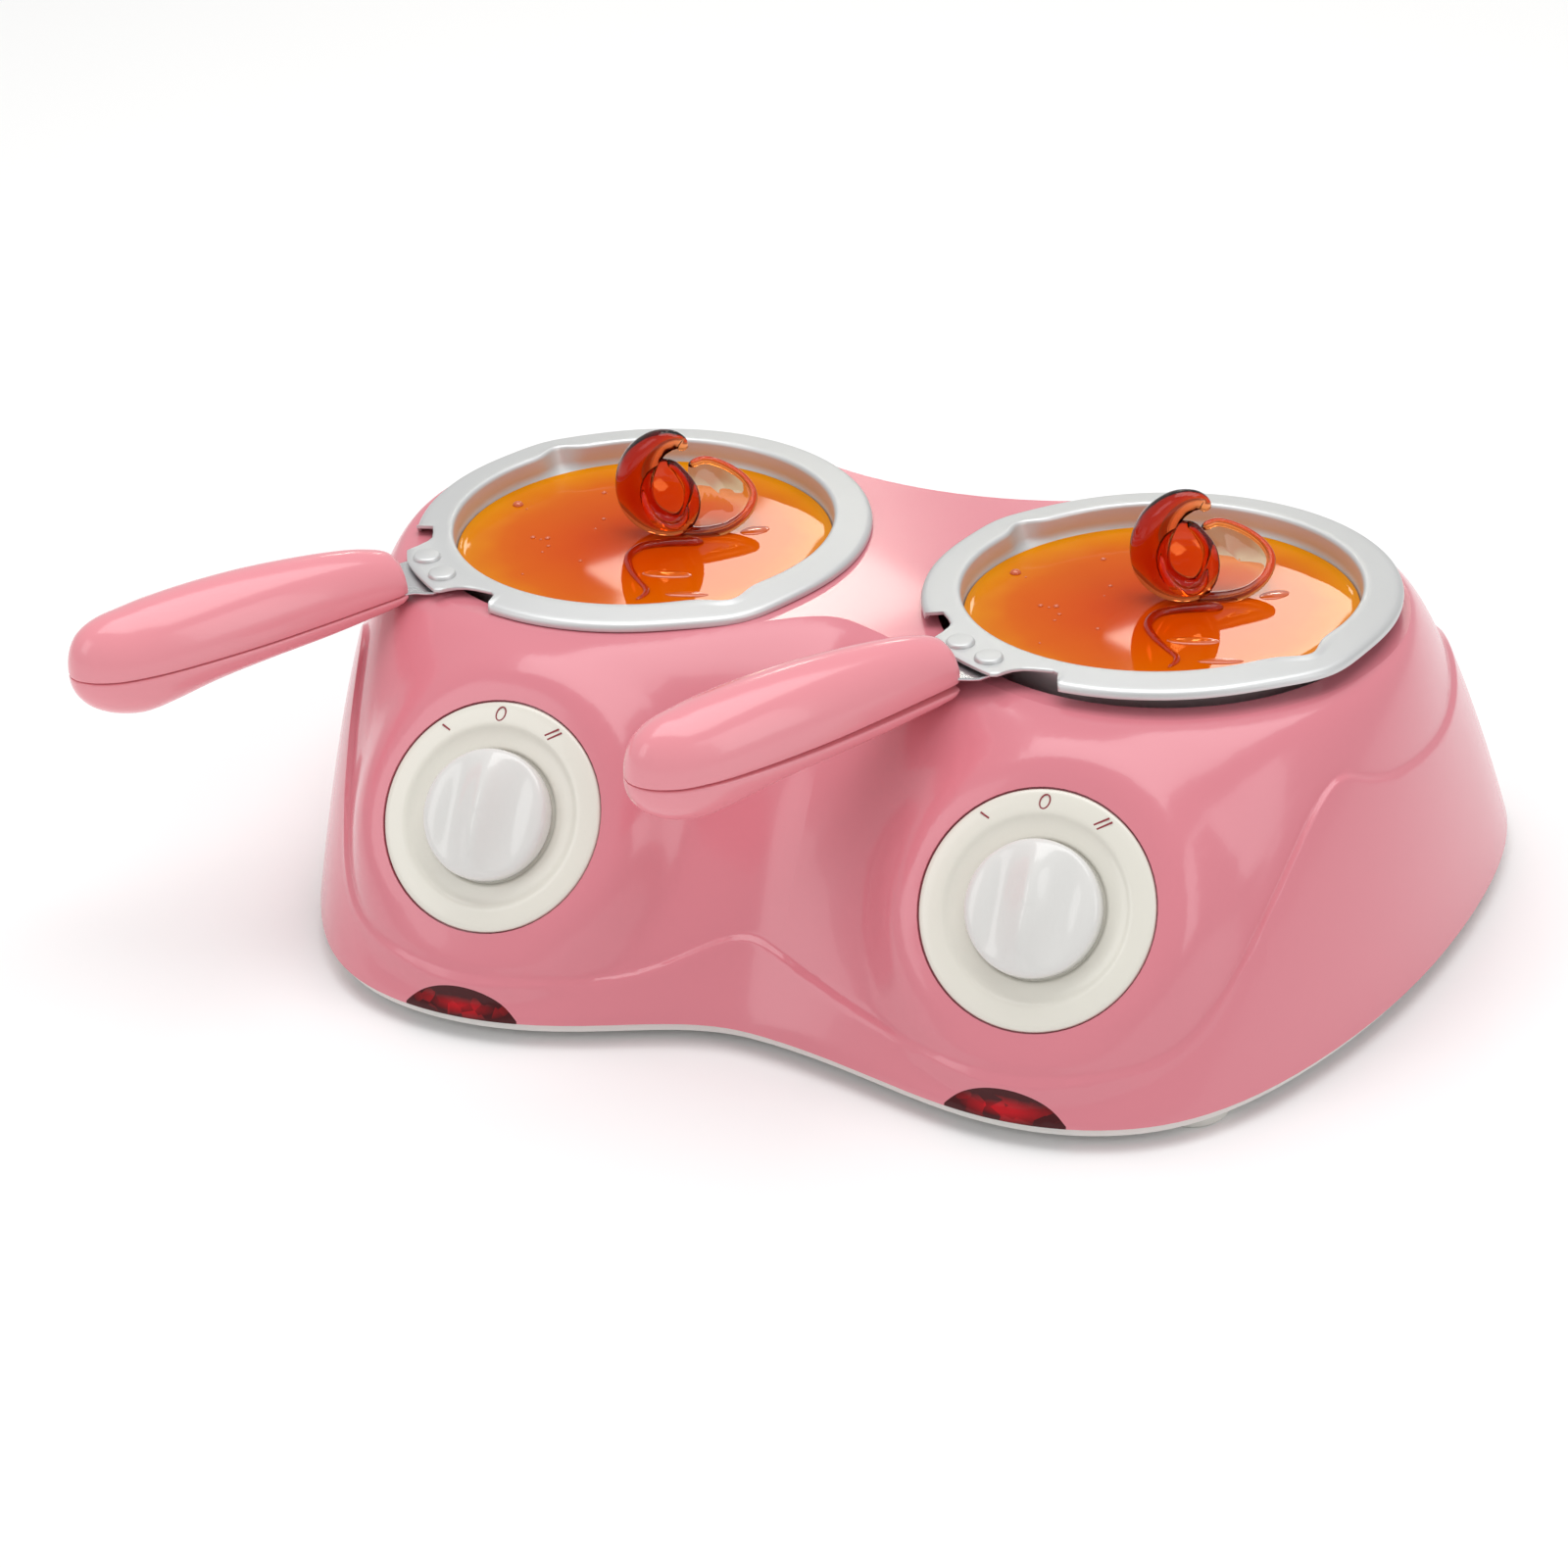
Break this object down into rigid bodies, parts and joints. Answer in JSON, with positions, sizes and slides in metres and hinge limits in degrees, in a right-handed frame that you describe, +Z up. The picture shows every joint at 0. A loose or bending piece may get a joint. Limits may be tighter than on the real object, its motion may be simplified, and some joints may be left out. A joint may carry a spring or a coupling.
{
  "type": "wax warmer pot",
  "caption": "Twin wax warmer: moulded housing with switched dial heaters and lift-out handled pots of melted wax.",
  "frame": {"origin": "under the middle of the whole object's box, on the surface that it stands on", "axes": "+X along the row of two pots towards the right pot as seen from the front, +Y from the dials towards the back, +Z up"},
  "size_m": [0.3295, 0.224, 0.0999],
  "materials": {
    "housing_pink": "high gloss moulded",
    "handle_pink": "gloss moulded",
    "cream_plastic": "satin gloss moulded",
    "knob_white": "gloss moulded",
    "base_white": "fine matte moulded",
    "foot_rubber": "matte moulded",
    "red_lens": "clear red with faceted inside",
    "neon_glass": "clear blown",
    "pot_aluminium": "brushed and polished",
    "steel_sheet": "plain sheet",
    "zinc_steel": "zinc plated",
    "cast_aluminium": "as cast",
    "element_sheath": "oxidised sheath",
    "black_plastic": "matte moulded",
    "white_nylon": "matte moulded",
    "wax_amber": "warm glossy wax"
  },
  "bodies": {
    "housing": {"base_plate": "base_white", "base_screws": "zinc_steel", "cord_gland": "black_plastic", "dial_plate_left": "cream_plastic", "dial_plate_right": "cream_plastic", "foot_back_left": "foot_rubber", "foot_back_right": "foot_rubber", "foot_front_left": "foot_rubber", "foot_front_right": "foot_rubber", "heating_element_left": "element_sheath", "heating_element_right": "element_sheath", "heating_plate_left": "cast_aluminium", "heating_plate_right": "cast_aluminium", "heating_plate_screws": "zinc_steel", "indicator_lamp_left": "neon_glass", "indicator_lamp_right": "neon_glass", "indicator_lens_left": "red_lens", "indicator_lens_right": "red_lens", "rotary_switch_left": "black_plastic", "rotary_switch_right": "black_plastic", "switch_screws": "zinc_steel", "terminal_block": "white_nylon", "thermal_fuse_left": "white_nylon", "thermal_fuse_right": "white_nylon", "thermostat_left": "steel_sheet", "thermostat_right": "steel_sheet", "top_cover": "housing_pink", "well_cup_left": "steel_sheet", "well_cup_right": "steel_sheet", "well_screws": "zinc_steel"},
    "pot_left": {"handle_lower_shell_left": "handle_pink", "handle_screw_left": "zinc_steel", "handle_upper_shell_left": "handle_pink", "pot_bowl_left": "pot_aluminium", "pot_rivets_left": "pot_aluminium", "pot_tang_left": "steel_sheet", "wax_left": "wax_amber"},
    "pot_right": {"handle_lower_shell_right": "handle_pink", "handle_screw_right": "zinc_steel", "handle_upper_shell_right": "handle_pink", "pot_bowl_right": "pot_aluminium", "pot_rivets_right": "pot_aluminium", "pot_tang_right": "steel_sheet", "wax_right": "wax_amber"},
    "knob_left": {"knob_left": "knob_white", "switch_shaft_left": "white_nylon"},
    "knob_right": {"knob_right": "knob_white", "switch_shaft_right": "white_nylon"}
  },
  "joints": [
    {"name": "pot_left_lift", "type": "slide", "parent": "housing", "child": "pot_left", "axis": [0, 0, 1], "range_m": [0, 0.06]},
    {"name": "knob_left_turn", "type": "hinge", "parent": "housing", "child": "knob_left", "pos_m": [-0.06025, -0.08125, 0.0488], "axis": [0, -0.8007, 0.599], "range_deg": [-31, 31]},
    {"name": "pot_right_lift", "type": "slide", "parent": "housing", "child": "pot_right", "axis": [0, 0, 1], "range_m": [0, 0.06]},
    {"name": "knob_right_turn", "type": "hinge", "parent": "housing", "child": "knob_right", "pos_m": [0.08075, -0.08125, 0.0488], "axis": [0, -0.8007, 0.599], "range_deg": [-31, 31]}
  ]
}
